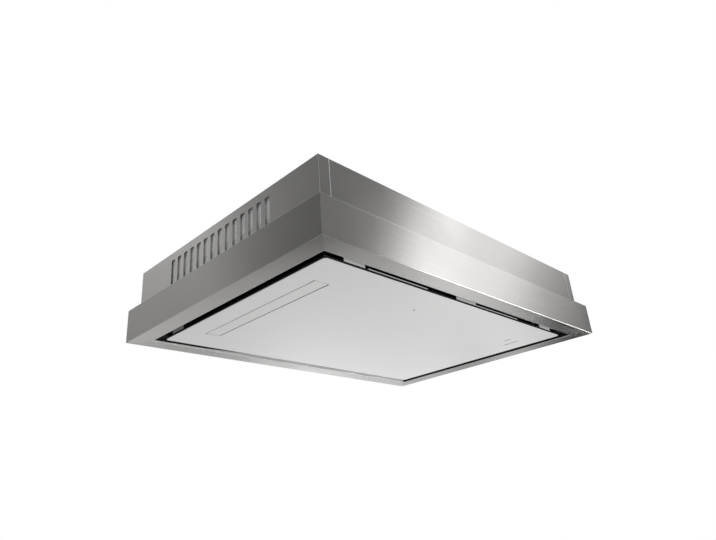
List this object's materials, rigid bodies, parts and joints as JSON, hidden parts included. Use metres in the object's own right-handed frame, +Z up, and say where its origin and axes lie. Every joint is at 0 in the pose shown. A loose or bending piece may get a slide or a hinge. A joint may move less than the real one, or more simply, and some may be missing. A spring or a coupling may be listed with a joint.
{
  "type": "ceiling range hood",
  "caption": "Ceiling range hood with a brushed steel casing and rim, a hinged white suction panel with a light strip, grease filters, a carbon filter and a blower.",
  "frame": {"origin": "middle of the four ceiling bolts, in the ceiling plane", "axes": "+X along the long side, towards the end away from the light strip; +Y towards the hinged long side; +Z up into the ceiling"},
  "size_m": [1, 0.7, 0.178],
  "materials": {
    "stainless": "brushed along each sheet",
    "galvanised": "zinc coated steel, dull",
    "outlet_mesh": "perforated sheet, light grey",
    "screws": "plain",
    "foam": "closed-cell foam",
    "black_paint": "fine matt powder coat",
    "filter_frame": "mill finish",
    "filter_mesh": "expanded mesh",
    "dark_plastic": "moulded",
    "blower_plastic": "moulded",
    "rubber": "moulded",
    "cassette_plastic": "moulded",
    "charcoal": "granular",
    "impeller_plastic": "moulded",
    "motor_iron": "zinc plated",
    "motor_steel": "ground",
    "duct_plastic": "moulded",
    "circuit_board": "solder mask",
    "light_driver": "moulded",
    "gland_plastic": "moulded",
    "switch_rocker": "moulded",
    "panel_glass": "glass, white behind",
    "white_paint": "powder coat",
    "white_tabs": "powder coat",
    "diffuser": "satin",
    "light_channel": "anodised",
    "light_board": "solder mask",
    "window_plastic": "smoked",
    "hinge_steel": "zinc plated",
    "catch_plastic": "moulded",
    "catch_magnet": "plated"
  },
  "bodies": {
    "housing": {"rim_front": "stainless", "rim_back": "stainless", "rim_left": "stainless", "rim_right": "stainless", "rim_gussets": "galvanised", "casing_left": "stainless", "casing_right": "stainless", "casing_front": "stainless", "casing_back": "stainless", "seam_strips": "galvanised", "outlet_mesh_left": "outlet_mesh", "outlet_mesh_right": "outlet_mesh", "ceiling_rail_front": "galvanised", "ceiling_rail_back": "galvanised", "ceiling_rail_left": "galvanised", "ceiling_rail_right": "galvanised", "hanger_brackets": "galvanised", "screws": "screws", "body_shell": "galvanised", "intake_gasket": "foam", "intake_plate": "black_paint", "filter_frame_left": "filter_frame", "filter_frame_right": "filter_frame", "filter_mesh_left": "filter_mesh", "filter_mesh_right": "filter_mesh", "volute_lower": "blower_plastic", "volute_upper": "blower_plastic", "blower_mounts": "rubber", "inlet_ring": "blower_plastic", "motor_stator": "motor_iron", "outlet_duct": "duct_plastic", "control_box": "dark_plastic", "control_lid": "dark_plastic", "circuit_board": "circuit_board", "light_driver": "light_driver", "cable_gland": "gland_plastic", "switch_housing": "dark_plastic", "hinge_brackets": "hinge_steel", "hinge_pins": "hinge_steel", "catch_bodies": "catch_plastic"},
    "panel": {"panel_glass": "panel_glass", "panel_tray": "white_paint", "panel_tabs": "white_tabs", "light_diffuser": "diffuser", "light_channel": "light_channel", "light_board": "light_board", "sensor_windows": "window_plastic", "sensor_units": "dark_plastic", "hinge_leaves": "hinge_steel"},
    "catch_left": {"catch_plunger_left": "catch_magnet"},
    "catch_right": {"catch_plunger_right": "catch_magnet"},
    "latch_left": {"filter_latch_left": "dark_plastic"},
    "latch_right": {"filter_latch_right": "dark_plastic"},
    "carbon_filter": {"carbon_cassette": "cassette_plastic", "charcoal": "charcoal"},
    "blower_wheel": {"impeller": "impeller_plastic", "motor_rotor": "motor_iron", "motor_shaft": "motor_steel"},
    "flap": {"backdraft_flap": "duct_plastic"},
    "rocker": {"switch_rocker": "switch_rocker"}
  },
  "joints": [
    {"name": "panel_hinge", "type": "hinge", "parent": "housing", "child": "panel", "pos_m": [0, 0.272, -0.165], "axis": [1, 0, 0], "range_deg": [0, 90]},
    {"name": "catch_left_push", "type": "slide", "parent": "housing", "child": "catch_left", "axis": [0, 0, 1], "range_m": [0, 0.004], "stiffness_N_per_m": 400},
    {"name": "catch_right_push", "type": "slide", "parent": "housing", "child": "catch_right", "axis": [0, 0, 1], "range_m": [0, 0.004], "stiffness_N_per_m": 400},
    {"name": "latch_left_slide", "type": "slide", "parent": "housing", "child": "latch_left", "axis": [0, 1, 0], "range_m": [0, 0.007], "stiffness_N_per_m": 300},
    {"name": "latch_right_slide", "type": "slide", "parent": "housing", "child": "latch_right", "axis": [0, 1, 0], "range_m": [0, 0.007], "stiffness_N_per_m": 300},
    {"name": "carbon_filter_turn", "type": "hinge", "parent": "housing", "child": "carbon_filter", "pos_m": [0.06, -0.03, -0.126], "axis": [0, 0, 1], "range_deg": [-25, 0]},
    {"name": "blower_spin", "type": "hinge", "parent": "housing", "child": "blower_wheel", "pos_m": [0.06, -0.03, -0.074], "axis": [0, 0, 1], "continuous": true},
    {"name": "flap_swing", "type": "hinge", "parent": "housing", "child": "flap", "pos_m": [-0.16, 0.084, -0.0415], "axis": [0, 1, 0], "range_deg": [0, 80]},
    {"name": "switch_rock", "type": "hinge", "parent": "housing", "child": "rocker", "pos_m": [0.389, 0.2, -0.147], "axis": [1, 0, 0], "range_deg": [-16, 0]}
  ]
}
